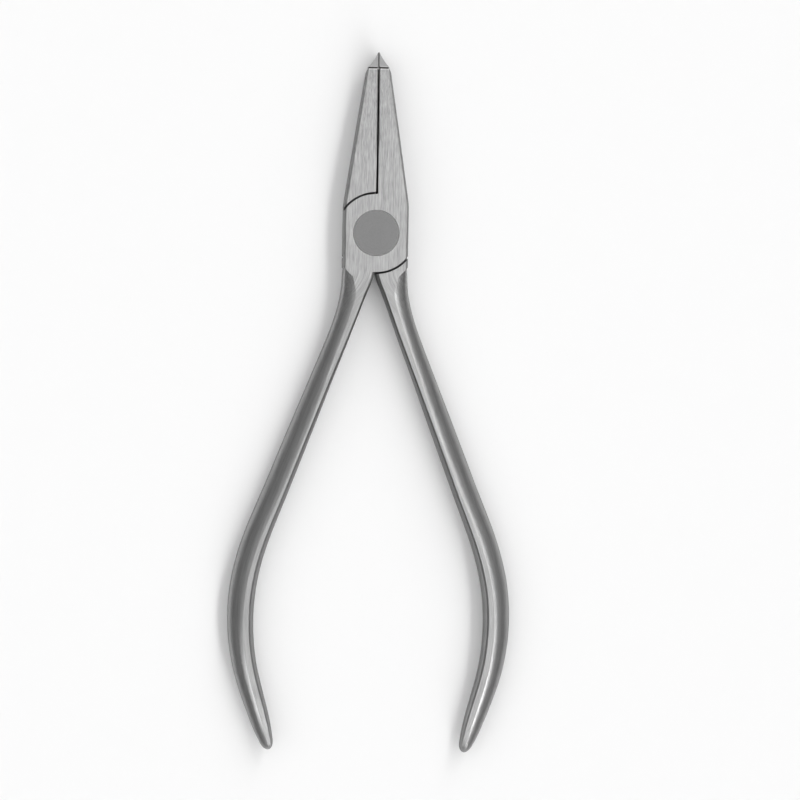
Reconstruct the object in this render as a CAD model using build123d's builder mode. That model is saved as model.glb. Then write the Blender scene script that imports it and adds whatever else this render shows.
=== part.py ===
# Orthodontic pliers: two crossed steel levers on a lap joint, with straight
# tapering jaws, hard tips brazed to the jaw ends and long bowed handles.
#
# The pliers lie on their back. X runs across the jaws, Y runs along the
# pliers with the tips at +Y, and Z is up through the joint. The origin is on
# the pivot axis, on the back face that rests on the table. All sizes are in
# millimetres.
import os
from math import cos, radians, sin

from build123d import *

# Joint: two laps of half the thickness, each a disc with two flat sides
joint_thickness = 8.2
joint_width = 12.4
lap_radius = 7.55
shoulder_gap = 0.34
lap_clearance = 0.04
side_blend_radius = 14.0

# Jaws, closed. The widths and openings are across both jaws.
seam_height = 31.8
jaw_end_width = 4.56
flank_foot = 5.4
jaw_corner_width = 4.16
jaw_corner_length = 0.8
jaw_end_depth = 4.5
jaw_flat_height = 9.0
root_opening = 0.5
seam_opening = 0.24

# Hard tips, and the braze that holds them in a shallow line across the jaws
tip_height = 2.9
tip_foot_width = 4.1
tip_foot_step = 0.08
tip_edge_depth = 3.2
tip_nose_width = 0.22
tip_opening = 0.04
tip_hollow = 0.14
tip_chamfer = 0.1
braze_thickness = 0.26
braze_recess = 0.2

# Handles, with the centre line of one drawn from inside the joint
neck_out = 2.5
neck_drop = 4.0
neck_heading = 8.6
neck_radius = 77.0
handle_heading = 21.3
straight_length = 40.8
bend_radius = 44.4
tail_heading = -18.0
tail_length = 10.2
nose_length = 2.1
handle_width = 5.0
handle_depth = 7.0
root_side_length = 6.6
root_flat_length = 8.3
root_flat_width = 4.6
crotch_opening = 0.3

# Pivot screw
head_diameter = 8.8
head_height = 1.7
shoulder_diameter = 6.2
thread_diameter = 5.0
bearing_clearance = 0.03
head_clearance = 0.05
end_play = 0.03
screw_chamfer = 0.08

# Edges and cutting aids
outer_bevel = 0.38
overrun = 2.0
upright_share = 0.1

mid_height = joint_thickness / 2
half_width = joint_width / 2
recess_radius = lap_radius + shoulder_gap
lap_face = mid_height - lap_clearance / 2
foot_height = seam_height + braze_thickness
apex_height = foot_height + tip_height
flank_slope = (half_width - jaw_end_width / 2) / (seam_height - flank_foot)
corner_height = seam_height - jaw_corner_length
corner_x = jaw_end_width / 2 + jaw_corner_length * flank_slope
turn_axis = Axis((0, 0, mid_height), (0, 1, 0))


def heading_vector(heading):
    """Direction of a handle, turned outward from straight down by heading."""
    return Vector(sin(radians(heading)), -cos(radians(heading)))


# The centre line of the right handle: a slight neck curve, a straight
# stretch, the bend that fills the palm, and a straight tail.
with BuildLine() as handle_line:
    neck = JernArc(
        (neck_out, -neck_drop),
        heading_vector(neck_heading),
        neck_radius,
        handle_heading - neck_heading,
    )
    shank = Line(neck @ 1, neck @ 1 + heading_vector(handle_heading) * straight_length)
    bend = JernArc(
        shank @ 1,
        heading_vector(handle_heading),
        bend_radius,
        tail_heading - handle_heading,
    )
    tail = Line(bend @ 1, bend @ 1 + heading_vector(tail_heading) * tail_length)

# One row for each section of the handle. Its place is a share of the centre
# line, its width and depth are shares of the handle's, and its crest and
# flank are shares of its own width: where the outer round begins, and how
# far the inner flank leans in. The round drops to an upright outer wall, and
# its rise is a share of the round's own width. The pulls say how full it is.
section_shares = (
    (0.000, 1.100, 1.180, 0.80, 0.02, 0.60),
    (0.020, 1.180, 1.180, 0.76, 0.02, 0.60),
    (0.046, 1.170, 1.180, 0.64, 0.02, 0.62),
    (0.068, 1.030, 1.175, 0.48, 0.03, 0.66),
    (0.114, 0.850, 1.150, 0.38, 0.04, 0.74),
    (0.173, 0.812, 1.100, 0.37, 0.06, 0.84),
    (0.244, 0.840, 1.045, 0.32, 0.08, 0.85),
    (0.325, 0.892, 1.010, 0.27, 0.10, 0.85),
    (0.416, 0.936, 0.990, 0.26, 0.11, 0.85),
    (0.508, 0.968, 0.975, 0.29, 0.11, 0.85),
    (0.599, 1.006, 0.960, 0.34, 0.12, 0.85),
    (0.690, 1.024, 0.935, 0.38, 0.13, 0.85),
    (0.777, 0.998, 0.885, 0.41, 0.13, 0.85),
    (0.853, 0.930, 0.810, 0.43, 0.13, 0.85),
    (0.914, 0.850, 0.720, 0.45, 0.13, 0.85),
    (0.962, 0.740, 0.610, 0.46, 0.13, 0.85),
    (1.000, 0.544, 0.490, 0.47, 0.14, 0.85),
)
corner_share = 0.07
crest_pull_share = 0.3
wall_pull_share = 0.55

# The nose closes like an ellipse. Its sections are at these angles round it,
# and the first angle carries on the taper of the handle.
nose_angles = (11, 27, 43, 59, 75, 86)


def handle_section(centre, along, width, depth, crest, flank, rise):
    """D-shaped section across the right handle, its leaning flank inward."""
    across = Vector(-along.Y, along.X, 0)
    corner = corner_share * width
    inner_x = -width / 2
    flank_x = inner_x + flank * width
    flat_x = flank_x + corner
    crest_x = inner_x + crest * width
    round_width = width / 2 - crest_x
    round_height = rise * round_width
    pull_x = crest_x + crest_pull_share * round_width
    top = depth / 2
    shoulder = top - corner
    wall = top - round_height
    pull_z = wall + wall_pull_share * round_height
    origin = centre + Vector(0, 0, mid_height)
    with BuildSketch(Plane(origin=origin, x_dir=across, z_dir=along)) as section:
        with BuildLine():
            ThreePointArc((flank_x, shoulder), (inner_x, 0), (flank_x, -shoulder))
            Polyline((flank_x, -shoulder), (flat_x, -top), (crest_x, -top))
            Bezier((crest_x, -top), (pull_x, -top), (width / 2, -pull_z), (width / 2, -wall))
            Line((width / 2, -wall), (width / 2, wall))
            Bezier((width / 2, wall), (width / 2, pull_z), (pull_x, top), (crest_x, top))
            Polyline((crest_x, top), (flat_x, top), (flank_x, shoulder))
        make_face()
    return section.sketch


# The handle is forged a little deeper than the joint at its root, and ground
# off level with the joint's two faces.
with BuildPart() as handle_bar:
    for place, width_share, depth_share, crest, flank, rise in section_shares:
        width = width_share * handle_width
        depth = depth_share * handle_depth
        along = handle_line.line % place
        add(handle_section(handle_line.line @ place, along, width, depth, crest, flank, rise))
    loft()
    start_sine = sin(radians(nose_angles[0]))
    for angle in nose_angles:
        shrink = cos(radians(angle)) / cos(radians(nose_angles[0]))
        reach = nose_length * (sin(radians(angle)) - start_sine) / (1 - start_sine)
        centre = tail @ 1 + along * reach
        add(handle_section(centre, along, width * shrink, depth * shrink, crest, flank, rise))
    loft()
    split(bisect_by=Plane.XY, keep=Keep.TOP)
    split(bisect_by=Plane.XY.offset(joint_thickness), keep=Keep.BOTTOM)

# The outline of the left jaw, the lap disc and the flat right root
with BuildSketch() as lever_outline:
    Circle(lap_radius)
    Rectangle(joint_width, 2 * lap_radius, mode=Mode.INTERSECT)
    with BuildLine():
        Polyline(
            (-root_opening / 2, 0),
            (-seam_opening / 2, seam_height),
            (-jaw_corner_width / 2, seam_height),
            (-corner_x, corner_height),
            (-half_width, flank_foot),
            (-half_width, 0),
            close=True,
        )
    make_face()
    with BuildLine():
        Polyline(
            (crotch_opening / 2, 0),
            (half_width, 0),
            (half_width, -root_side_length),
            (root_flat_width, -root_flat_length),
            (root_flat_width / 2, -root_flat_length),
            close=True,
        )
    make_face()
    blend_point = lever_outline.vertices().sort_by_distance((-half_width, flank_foot))[0]
    fillet(blend_point, side_blend_radius)

# The space between the handles, kept open below the lap disc
with BuildSketch() as crotch_space:
    with Locations((crotch_opening / 2, 0)):
        Rectangle(joint_width, apex_height, align=(Align.MAX, Align.MAX))
    Circle(lap_radius, mode=Mode.SUBTRACT)

# The lever seen from its side: level at the joint, thinner to the jaw's end
side_plane = Plane(origin=(-half_width - overrun, 0, mid_height), x_dir=(0, 1, 0), z_dir=(1, 0, 0))
with BuildSketch(side_plane) as lever_side:
    with BuildLine():
        Polyline(
            (seam_height, jaw_end_depth / 2),
            (seam_height, 0),
            (-root_flat_length, 0),
            (-root_flat_length, mid_height),
            (jaw_flat_height, mid_height),
        )
        TangentArc(
            (jaw_flat_height, mid_height),
            (seam_height, jaw_end_depth / 2),
            tangent=(1, 0),
        )
    make_face()
    mirror(about=Plane.XZ)

# One lever with its handle, before the laps are milled
with BuildPart() as lever_blank:
    add(lever_outline.sketch)
    extrude(amount=joint_thickness)
    add(lever_side.sketch)
    extrude(amount=joint_width + 2 * overrun, dir=(1, 0, 0), mode=Mode.INTERSECT)
    walls = lever_blank.faces().filter_by(lambda face: abs(face.normal_at().Z) < upright_share)
    outer_walls = walls.filter_by(lambda face: abs(face.center().X) > half_width / 2)
    outer_walls = outer_walls.filter_by(lambda face: face.radius != lap_radius)
    outer_walls = outer_walls.filter_by(lambda face: face.normal_at().Y > -upright_share)
    chamfer(outer_walls.edges().filter_by(Axis.Z, reverse=True), outer_bevel)
    add(handle_bar.part)
    add(crotch_space.sketch)
    extrude(amount=joint_thickness, mode=Mode.SUBTRACT)

# The back lever keeps the half of the joint that rests on the table. The
# front lever is the same forging turned over.
with BuildPart() as back_lever:
    add(lever_blank.part)
    with BuildSketch(Plane.XY.offset(lap_face)):
        Circle(recess_radius)
    extrude(amount=joint_thickness, mode=Mode.SUBTRACT)
    with BuildSketch():
        Circle(thread_diameter / 2)
    extrude(amount=joint_thickness, mode=Mode.SUBTRACT)

front_blank = lever_blank.part.rotate(turn_axis, 180)
head_seat = joint_thickness - head_height

with BuildPart() as front_lever:
    add(front_blank)
    with BuildSketch(Plane.XY.offset(joint_thickness - lap_face)):
        Circle(recess_radius)
    extrude(amount=-joint_thickness, mode=Mode.SUBTRACT)
    with BuildSketch():
        Circle(shoulder_diameter / 2 + bearing_clearance)
    extrude(amount=joint_thickness, mode=Mode.SUBTRACT)
    with BuildSketch(Plane.XY.offset(head_seat - end_play)):
        Circle(head_diameter / 2 + head_clearance)
    extrude(amount=joint_thickness, mode=Mode.SUBTRACT)

# The screw turns inside the front lap, stands on the back lap and is fast in
# it. Both its ends are ground level with the joint.
with BuildPart() as pivot_screw:
    with BuildSketch(Plane.XZ):
        with BuildLine():
            Polyline(
                (0, 0),
                (thread_diameter / 2, 0),
                (thread_diameter / 2, lap_face),
                (shoulder_diameter / 2, lap_face),
                (shoulder_diameter / 2, head_seat),
                (head_diameter / 2, head_seat),
                (head_diameter / 2, joint_thickness),
                (0, joint_thickness),
                close=True,
            )
        make_face()
    revolve(axis=Axis.Z)
    rim = pivot_screw.edges().filter_by(GeomType.CIRCLE).sort_by(Axis.Z)[-1]
    chamfer(rim, screw_chamfer)

# The braze stands in a shallow line between the jaw and its hard tip.
with BuildPart() as back_braze:
    braze_depth = jaw_end_depth - 2 * braze_recess
    with BuildSketch(Plane.XY.offset(mid_height - braze_depth / 2)):
        with Locations((-seam_opening / 2 - braze_recess, seam_height)):
            Rectangle(
                (jaw_corner_width - seam_opening) / 2 - 2 * braze_recess,
                braze_thickness,
                align=(Align.MAX, Align.MIN),
            )
    extrude(amount=braze_depth)

# A hard tip: half of a slightly hollow gable, thinner towards its point
with BuildPart() as back_tip:
    with BuildSketch():
        with BuildLine():
            foot_out = (-tip_foot_width / 2, foot_height)
            nose_out = (-tip_nose_width / 2, apex_height)
            Line((-tip_opening / 2, apex_height), (-seam_opening / 2, foot_height))
            Line((-seam_opening / 2, foot_height), foot_out)
            SagittaArc(foot_out, nose_out, -tip_hollow)
            Line(nose_out, (-tip_opening / 2, apex_height))
        make_face()
    extrude(amount=joint_thickness)
    tip_foot_depth = jaw_end_depth - 2 * tip_foot_step
    with BuildSketch(side_plane):
        with BuildLine():
            Polyline(
                (foot_height, -tip_foot_depth / 2),
                (foot_height, tip_foot_depth / 2),
                (apex_height, tip_edge_depth / 2),
                (apex_height, -tip_edge_depth / 2),
                close=True,
            )
        make_face()
    extrude(amount=joint_width + 2 * overrun, mode=Mode.INTERSECT)
    foot_edges = back_tip.faces().sort_by(Axis.Y)[0].edges().filter_by(Axis.X)
    split_edges = back_tip.faces().sort_by(Axis.X)[-1].edges().filter_by(Axis.Z, reverse=True)
    chamfer(foot_edges + split_edges, tip_chamfer)

with BuildPart() as front_braze:
    add(back_braze.part.rotate(turn_axis, 180))

with BuildPart() as front_tip:
    add(back_tip.part.rotate(turn_axis, 180))

os.makedirs("parts", exist_ok=True)

back_lever.part.label = "back_lever"
export_step(back_lever.part, "parts/back_lever.step")

front_lever.part.label = "front_lever"
export_step(front_lever.part, "parts/front_lever.step")

pivot_screw.part.label = "pivot_screw"
export_step(pivot_screw.part, "parts/pivot_screw.step")

back_braze.part.label = "back_braze_seam"
export_step(back_braze.part, "parts/back_braze_seam.step")

front_braze.part.label = "front_braze_seam"
export_step(front_braze.part, "parts/front_braze_seam.step")

back_tip.part.label = "back_tip_insert"
export_step(back_tip.part, "parts/back_tip_insert.step")

front_tip.part.label = "front_tip_insert"
export_step(front_tip.part, "parts/front_tip_insert.step")
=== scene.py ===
# %% [markdown]
# # Orthodontic pliers
# Slim pliers that bend fine wire: two crossed steel levers on a screw, with
# hard tips brazed to the jaws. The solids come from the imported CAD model, so
# this script adds what a CAD file has none of: the finish of each metal, a
# floor, soft light and a camera. Everything is in metres. The pliers lie on
# their back on the floor, with the screw's axis on Z and the tips at +Y.

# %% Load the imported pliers
import bpy
from math import cos, radians, sin
from mathutils import Matrix, Vector

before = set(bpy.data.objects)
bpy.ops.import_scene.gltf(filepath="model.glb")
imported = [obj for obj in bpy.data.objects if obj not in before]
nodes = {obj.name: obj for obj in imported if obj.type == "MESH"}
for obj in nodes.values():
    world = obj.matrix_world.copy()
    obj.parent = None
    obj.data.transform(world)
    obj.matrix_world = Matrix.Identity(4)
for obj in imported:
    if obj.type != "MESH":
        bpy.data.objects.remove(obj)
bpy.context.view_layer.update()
print("pieces:", ", ".join(sorted(nodes)))

# %% [markdown]
# ## Camera
# The photo looks straight down on the pliers from far away, so the handles
# show almost no perspective. A long lens a metre above the table gives that.
# The camera stands a little to the left, where it sees the left walls of the
# jaws, and it is turned by a degree, as the pliers in the photo are.

# %% A long lens, straight above
mm = 0.001
view_width = 154.8 * mm
lens_length = 250
sensor_width = 36
left_tilt = radians(3.3)
roll = radians(1.05)
aim = Vector((5.39, -32.1, 4.1)) * mm

picture_right = Vector((cos(roll), sin(roll), 0))
picture_up = Vector((-sin(roll), cos(roll), 0))
look_back = Vector((0, 0, cos(left_tilt))) - picture_right * sin(left_tilt)
lens_right = picture_up.cross(look_back)

camera_data = bpy.data.cameras.new("long_lens")
camera_data.lens = lens_length
camera_data.sensor_width = sensor_width
camera = bpy.data.objects.new("camera", camera_data)
distance = view_width * lens_length / sensor_width
axes = Matrix((lens_right, picture_up, look_back)).transposed()
camera.matrix_world = Matrix.Translation(aim + look_back * distance) @ axes.to_4x4()
bpy.context.scene.collection.objects.link(camera)
bpy.context.scene.camera = camera
print("camera distance in metres:", round(distance, 3))

# %% [markdown]
# ## Writing a finish
# A finish is a net of shader nodes. Wiring it by hand hides the idea behind
# it, so a number that runs through the net is wrapped in a small class, and
# Python's own signs add the Math nodes. Every other node is added by one
# method that takes its type, its settings and what goes into its sockets.

# %% Numbers and nodes that Python can write
class Number:
    """A number that flows through a net of shader nodes."""

    def __init__(self, net, socket):
        self.net, self.socket = net, socket

    def math(self, operation, *values):
        """A Math node that works on the given values."""
        return self.net.add("ShaderNodeMath", {"operation": operation}, dict(enumerate(values)))

    def __add__(self, other):
        return self.math("ADD", self, other)

    def __sub__(self, other):
        return self.math("SUBTRACT", self, other)

    def __rsub__(self, other):
        return self.math("SUBTRACT", other, self)

    def __mul__(self, other):
        return self.math("MULTIPLY", self, other)

    def __truediv__(self, other):
        return self.math("DIVIDE", self, other)

    def __abs__(self):
        return self.math("ABSOLUTE", self)

    __radd__ = __add__
    __rmul__ = __mul__

    def sign(self):
        """-1 or 1, on either side of 0."""
        return self.math("SIGN", self)

    def root(self):
        """The square root."""
        return self.math("SQRT", self)

    def step(self, low, high):
        """0 at low, 1 at high and smooth between them, whichever of the two is larger."""
        settings = {"interpolation_type": "SMOOTHSTEP"}
        sockets = {"Value": self, "From Min": low, "From Max": high}
        return self.net.add("ShaderNodeMapRange", settings, sockets)

    def toward(self, other, share):
        """This number where the share is 0 and the other where it is 1."""
        return self + share * (other - self)


class Net:
    """The node tree of a material or of the world."""

    def __init__(self, owner):
        owner.use_nodes = True
        self.tree = owner.node_tree
        self.tree.nodes.clear()

    def add(self, kind, settings=None, sockets=None, output=0):
        """Adds a node, sets it, fills its sockets and gives one of its outputs."""
        node = self.tree.nodes.new(kind)
        for name, value in (settings or {}).items():
            if name == "curve":
                points = node.mapping.curves[0].points
                for place, height in value[1:-1]:
                    points.new(place, height)
                points[0].location, points[-1].location = value[0], value[-1]
                node.mapping.update()
            else:
                setattr(node, name, value)
        for name, value in (sockets or {}).items():
            if isinstance(value, Number):
                self.tree.links.new(value.socket, node.inputs[name])
            else:
                node.inputs[name].default_value = value
        return Number(self, node.outputs[output]) if node.outputs else None

    def split(self, vector):
        """The three parts of a vector, as numbers."""
        first = self.add("ShaderNodeSeparateXYZ", {}, {"Vector": vector})
        return [Number(self, socket) for socket in first.socket.node.outputs]

    def noise(self, x, y, z):
        """Noise from -0.5 to 0.5 at a place whose parts are already in grains, not metres."""
        place = self.add("ShaderNodeCombineXYZ", {}, {0: x, 1: y, 2: z})
        return self.add("ShaderNodeTexNoise", {}, {"Vector": place, "Scale": 1, "Detail": 2}) - 0.5


print("shader helpers ready")

# %% [markdown]
# ## Soft studio light
# Metal shows its room more than its own colour. In the photo the flat faces
# are light because a soft cover hangs above them, and the rounds go dark
# where they look at the dim sides of the room. The cover is as long as the
# pliers and reaches a little to the right. A bright strip beside it makes the
# line along the right handle's crest, and a small light over the handle ends
# brightens their tails. One soft sun from the left fills the shadow on the
# floor, and is kept out of what the metal mirrors. All of it is endlessly far
# away, so every view gets the same light.

# %% A long cover above, dim sides and a soft fill from the left
dark_height, light_height = 0.1, 0.6
side_low, side_high = 0.13, 0.33
cover_level = 1.02
cover_centre, cover_edge, cover_core = 0.08, 0.72, 0.04
strip_level = 7
strip_centre, strip_edge, strip_core = 0.34, 0.07, 0.02
end_level = 1.25
end_centre, end_edge, end_core, end_width = -0.3, 0.14, 0.04, 0.3
fill_level = 0.55
fill_softness = radians(60)
fill_from = Vector((-0.6, 0, 1))

world = bpy.data.worlds.new("studio")
bpy.context.scene.world = world
net = Net(world)
toward_x, toward_y, toward_z = net.split(net.add("ShaderNodeTexCoord"))
above = toward_z.step(dark_height, light_height)
side = side_low + (side_high - side_low) * toward_z.step(0, light_height)
cover = abs(toward_x - cover_centre).step(cover_edge, cover_core) * above
strip = abs(toward_x - strip_centre).step(strip_edge, strip_core) * above
end_light = abs(toward_y - end_centre).step(end_edge, end_core) * above
end_light = end_light * abs(toward_x).step(end_width, 0)
level = side + (cover_level - side_high) * cover + strip_level * strip + end_level * end_light
sky = net.add("ShaderNodeBackground", {}, {"Color": (1, 1, 1, 1), "Strength": level})
net.add("ShaderNodeOutputWorld", {}, {"Surface": sky})

fill_data = bpy.data.lights.new("fill", "SUN")
fill_data.energy = fill_level
fill_data.angle = fill_softness
fill = bpy.data.objects.new("fill", fill_data)
fill.rotation_euler = fill_from.to_track_quat("Z", "Y").to_euler()
fill.visible_glossy = False
bpy.context.scene.collection.objects.link(fill)
bpy.context.scene.view_settings.view_transform = "Standard"
print("cover:", cover_level, "strip:", strip_level, "fill:", fill_level)

# %% [markdown]
# ## Floor
# The pliers lie on plain white paper. It has to keep their shadow, so it is
# an ordinary matte surface, and only its own colour makes it pale.

# %% White paper to the horizon
floor_reach = 20
floor_white = 0.87

floor_mesh = bpy.data.meshes.new("floor")
corners = [(-floor_reach, -floor_reach, 0), (floor_reach, -floor_reach, 0)]
corners += [(floor_reach, floor_reach, 0), (-floor_reach, floor_reach, 0)]
floor_mesh.from_pydata(corners, [], [(0, 1, 2, 3)])
floor = bpy.data.objects.new("floor", floor_mesh)
bpy.context.scene.collection.objects.link(floor)
paper = bpy.data.materials.new("white_paper")
net = Net(paper)
matte = net.add("ShaderNodeBsdfDiffuse", {}, {"Color": (floor_white, floor_white, floor_white, 1)})
net.add("ShaderNodeOutputMaterial", {}, {"Surface": matte})
floor_mesh.materials.append(paper)
print("floor at height", floor.location.z)

# %% [markdown]
# ## Metal
# All four metals are grey and differ in how they were worked. A metal
# surface needs a colour, a gloss and a fine relief, and one function joins
# the three, so that each finish below only says what it looks like.

# %% One metal surface from a shade, a roughness and a relief
def metal(net, shade, roughness, height, depth, warmth=0.0):
    """Metal of a grey shade. A height of 1 is a relief of the given depth in metres."""
    colours = {0: shade * (1 + warmth), 1: shade, 2: shade * (1 - warmth)}
    colour = net.add("ShaderNodeCombineColor", {}, colours)
    relief = net.add("ShaderNodeBump", {}, {"Height": height, "Distance": depth, "Strength": 1})
    sockets = {"Base Color": colour, "Metallic": 1, "Roughness": roughness, "Normal": relief}
    surface = net.add("ShaderNodeBsdfPrincipled", {}, sockets)
    net.add("ShaderNodeOutputMaterial", {}, {"Surface": surface})


def finish(material_name, node_names):
    """Starts a finish, gives it to CAD nodes and hands back its net and the place in it."""
    material = bpy.data.materials.new(material_name)
    for name in node_names:
        nodes[name].data.materials.clear()
        nodes[name].data.materials.append(material)
    net = Net(material)
    place = net.split(net.add("ShaderNodeTexCoord", {}, {}, "Object"))
    return net, place


print("metal helpers ready")

# %% [markdown]
# ## Brushed steel of the levers
# The forged levers are ground on a belt. The flat joint and jaws are drawn
# straight along it, which leaves fine streaks from jaw to handle. The round
# handles are followed round by hand, so their streaks bend with the bow and
# are fainter. A curve gives the bow's centre line, and the streaks keep their
# distance from it. A faint cloud keeps wide faces from looking too even.

# %% Streaks along the levers
bow_length = 100 * mm
bow_width = 25 * mm
bow = [(0, 0.07), (0.09, 0.134), (0.25, 0.347), (0.5, 0.736)]
bow += [(0.6, 0.892), (0.7, 0.98), (0.8, 0.976), (1, 0.76)]
handle_start, handle_full = -7 * mm, -16 * mm
streak_width, streak_length = 0.25 * mm, 7 * mm
fine_width, fine_length = 0.12 * mm, 2 * mm
grain_size = 0.12 * mm
cloud_size = 7 * mm

net, (x, y, z) = finish("lever_steel", ["back_lever", "front_lever"])
handle = y.step(handle_start, handle_full)
side_sign = x.sign()
centre_line = net.add("ShaderNodeFloatCurve", {"curve": bow}, {"Value": y / -bow_length}) * bow_width
across = x - handle * side_sign * centre_line
streaks = net.noise(across / streak_width, y / streak_length, z / streak_width)
fine = net.noise(across / fine_width, y / fine_length, z / fine_width)
grain = net.noise(x / grain_size, y / grain_size, z / grain_size)
cloud = net.noise(x / cloud_size, y / cloud_size, z / cloud_size)
widest = max(width for place, width in bow) * bow_width
print("the bow's widest place is", round(widest / mm, 1), "mm off the middle")

# %% [markdown]
# The laps of the joint are faced in a lathe, so they carry rings about the
# pivot. They show once the pliers are opened. The gap round the laps gets
# painted shade: its colour is darkened to nearly black, in uneven patches,
# and it is made duller. Which half of the thickness the gap is in changes
# with the side of the pivot, and so does the painted shade.

# %% Turned laps, with painted shade in the gap round them
lap_height = 4.1 * mm
lap_band = 0.06 * mm
ring_pitch = 0.12 * mm
gap_shade_start, gap_shade_full = 7.49 * mm, 7.53 * mm
gap_shade_end, gap_shade_gone = 7.91 * mm, 7.95 * mm
patch_size = 2.5 * mm
patch_low, patch_high, patch_least = -0.2, 0.2, 0.7

radius = (x * x + y * y).root()
lap = abs(z - lap_height).step(2 * lap_band, lap_band) * radius.step(gap_shade_gone, gap_shade_end)
rings = net.noise(radius / ring_pitch, 0, 0)
shade_patches = net.noise(x / patch_size, y / patch_size, z / patch_size).step(patch_low, patch_high)
into_lap = side_sign * y.sign() * (z - lap_height)
# Painted shade: the colour in the gap round the laps is darkened towards black, in uneven patches.
gap_shade = radius.step(gap_shade_start, gap_shade_full) * radius.step(gap_shade_gone, gap_shade_end)
gap_shade = gap_shade * into_lap.step(2 * lap_band, lap_band) * (patch_least + (1 - patch_least) * shade_patches)
print("oil from", round(gap_shade_start / mm, 2), "to", round(gap_shade_gone / mm, 2), "mm off the axis")

# %% [markdown]
# The walls are not ground. They keep the dull skin of the blasting cabinet,
# which is rougher than a ground face, and their colour is darkened as painted
# shade, so they mirror less of the paper. The faces either side of the narrow
# gap between the jaws get darker painted shade still. Beside the braze a thin
# band of the steel and the tip is lightened as a painted highlight. The edges
# of the handle tails, where the surface begins to turn down, carry painted
# highlights too, the left one stronger than the right one.

# %% Blasted walls, painted shade on walls and jaw gap, painted highlights by the braze and on the tails
wall_start, wall_full = 0.5, 0.2
grip_start, grip_full = 0.36 * mm, 0.27 * mm
grip_low, grip_high = 7 * mm, 8 * mm
face_start, face_full = 8.1 * mm, 7.9 * mm
braze_height = 31.93 * mm
seam_highlight_start, seam_highlight_full = 0.4 * mm, 0.25 * mm
tail_start, tail_full = -74 * mm, -88 * mm
nose_full, nose_start = -94 * mm, -98 * mm
highlight_top, highlight_high, highlight_low, highlight_end = 0.998, 0.985, 0.95, 0.9
tail_highlight_left, tail_highlight_right = 1.3, 0.3

upward = abs(net.split(net.add("ShaderNodeTexCoord", {}, {}, "Normal"))[2])
# Upright faces: a rougher blasted skin, and a darker colour that is painted shade.
wall = upward.step(wall_start, wall_full)
# Painted shade on the faces either side of the narrow gap between the jaws.
jaw_gap_shade = abs(x).step(grip_start, grip_full) * y.step(grip_low, grip_high) * z.step(face_start, face_full)
# A painted highlight: a thin band beside the braze is lightened.
seam_highlight = abs(y - braze_height).step(seam_highlight_start, seam_highlight_full)
tail = y.step(tail_start, tail_full) * y.step(nose_start, nose_full)
# Painted highlights along the edges of the handle tails, stronger on the left handle.
tail_highlight = upward.step(highlight_top, highlight_high) * upward.step(highlight_end, highlight_low) * tail
tail_highlight_gain = tail_highlight_right + (tail_highlight_left - tail_highlight_right) * x.step(mm, -mm)
# The printed span is where the handle tails get painted highlights.
print("wear from", round(tail_start / mm), "to", round(nose_start / mm), "mm along the handles")

# %% [markdown]
# What the tool leaves is a relief of a few thousandths of a millimetre. It
# shifts the colour a little too, because each scratch is a small mirror. The
# handles are a touch darker and duller than the flats.

# %% The surface of the levers
steel_shade, steel_roughness = 0.36, 0.35
flat_streaks, flat_fine = 0.75, 0.9
handle_streaks, handle_grain = 0.55, 0.3
ring_marks, wall_grain, cloud_marks = 0.3, 0.3, 0.06
handle_dim, wall_shade_dim, jaw_gap_shade_dim, gap_shade_dim = 0.06, 0.25, 0.6, 0.76
seam_highlight_gain = 0.45
handle_dull, wall_dull, gap_shade_dull, fine_dull = 0.04, 0.28, 0.25, 0.1
tail_highlight_gloss = 0.05
scratch_depth = 0.006 * mm

flat_marks = flat_streaks * streaks + flat_fine * fine
handle_marks = handle_streaks * streaks + handle_grain * grain
marks = flat_marks.toward(handle_marks, handle)
marks = marks.toward(wall_grain * grain, wall)
marks = marks.toward(ring_marks * rings, lap)
shade = steel_shade * (1 + marks + cloud_marks * cloud)
# Painted shade on the walls, in the jaw gap and in the gap round the laps; painted highlights beside
# the braze and on the tail edges.
shade = shade * (1 - handle_dim * handle) * (1 - wall_shade_dim * wall)
shade = shade * (1 - jaw_gap_shade_dim * jaw_gap_shade) * (1 - gap_shade_dim * gap_shade)
shade = shade * (1 + seam_highlight_gain * seam_highlight + tail_highlight_gain * tail_highlight)
roughness = steel_roughness + handle_dull * handle + wall_dull * wall + gap_shade_dull * gap_shade
roughness = roughness + fine_dull * fine - tail_highlight_gloss * tail_highlight
metal(net, shade, roughness, marks, scratch_depth)
print("lever steel:", steel_shade)

# %% [markdown]
# ## Matte steel of the screw
# The screw's head is glass-blasted before it is fitted, and then ground level
# with the joint, so it is darker and duller than the steel round it. The fine
# edge of the head is lightened as a painted highlight.

# %% Screw steel
screw_shade, screw_roughness = 0.232, 0.55
blast_size, turn_pitch = 0.3 * mm, 0.3 * mm
blast_marks, turn_marks, screw_cloud = 0.3, 0.1, 0.1
blast_dull = 0.15
rim_start, rim_full, rim_highlight_gain = 4.28 * mm, 4.33 * mm, 1.8
blast_depth = 0.015 * mm

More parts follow.
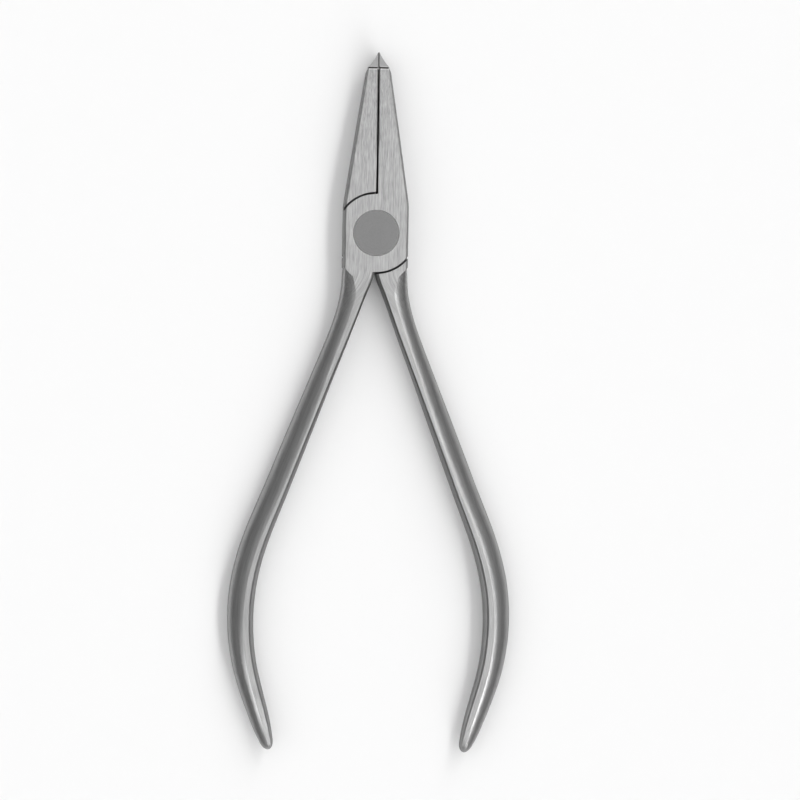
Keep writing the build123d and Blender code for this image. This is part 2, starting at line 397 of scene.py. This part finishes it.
net, (x, y, z) = finish("screw_steel", ["pivot_screw"])
radius = (x * x + y * y).root()
blast = net.noise(x / blast_size, y / blast_size, z / blast_size)
turns = net.noise(radius / turn_pitch, 0, z / turn_pitch)
cloud = net.noise(x / cloud_size, y / cloud_size, z / cloud_size)
# A painted highlight on the fine edge of the screw head.
rim_highlight = radius.step(rim_start, rim_full)
marks = blast_marks * blast + turn_marks * turns
shade = screw_shade * (1 + marks + screw_cloud * cloud) * (1 + rim_highlight_gain * rim_highlight)
metal(net, shade, screw_roughness + blast_dull * blast, marks, blast_depth)
print("screw steel:", screw_shade)

# %% [markdown]
# ## Hard tips
# Tungsten carbide is too hard to file. It is ground with a diamond wheel
# across the tip, which leaves short fine lines along X. The edges that meet
# in the middle are darkened as painted shade for the gap between the tips,
# and the foot gets the same painted highlight as the steel beside the braze.

# %% Tip carbide
carbide_shade, carbide_roughness = 0.33, 0.3
wheel_length, wheel_width = 0.8 * mm, 0.04 * mm
wheel_marks, mottle_marks, mottle_dull = 0.2, 0.12, 0.1
edge_start, edge_full, tip_gap_shade_dim = 0.18 * mm, 0.12 * mm, 0.55
wheel_depth = 0.01 * mm

net, (x, y, z) = finish("tip_carbide", ["back_tip_insert", "front_tip_insert"])
lines = net.noise(x / wheel_length, y / wheel_width, z / wheel_width)
mottle = net.noise(x / grain_size, y / grain_size, z / grain_size)
marks = wheel_marks * lines + mottle_marks * mottle
# Painted shade on the tips' inner edges, in the gap between them.
tip_gap_shade = abs(x).step(edge_start, edge_full)
# The same painted highlight beside the braze as on the steel.
seam_highlight = abs(y - braze_height).step(seam_highlight_start, seam_highlight_full)
shade = carbide_shade * (1 + marks) * (1 + seam_highlight_gain * seam_highlight) * (1 - tip_gap_shade_dim * tip_gap_shade)
metal(net, shade, carbide_roughness + mottle_dull * mottle, marks, wheel_depth)
print("carbide:", carbide_shade)

# %% [markdown]
# ## Braze
# The filler that holds the tips has run, cooled and been wiped with acid. It
# is dull, dark and a little brown, with a skin like orange peel.

# %% Braze alloy
braze_shade, braze_roughness, braze_warmth = 0.07, 0.6, 0.06
peel_size, peel_depth = 0.15 * mm, 0.03 * mm
peel_marks, peel_dull = 0.8, 0.2

net, (x, y, z) = finish("braze_alloy", ["back_braze_seam", "front_braze_seam"])
peel = net.noise(x / peel_size, y / peel_size, z / peel_size)
shade = braze_shade * (1 + peel_marks * peel)
metal(net, shade, braze_roughness + peel_dull * peel, peel, peel_depth, braze_warmth)
print("braze:", braze_shade)

# %% [markdown]
# ## Sizes
# Nothing was added to the solids, so the box round the dressed pliers has to
# be the box round the CAD model.

# %% Bring the scene up to date
bpy.context.view_layer.update()
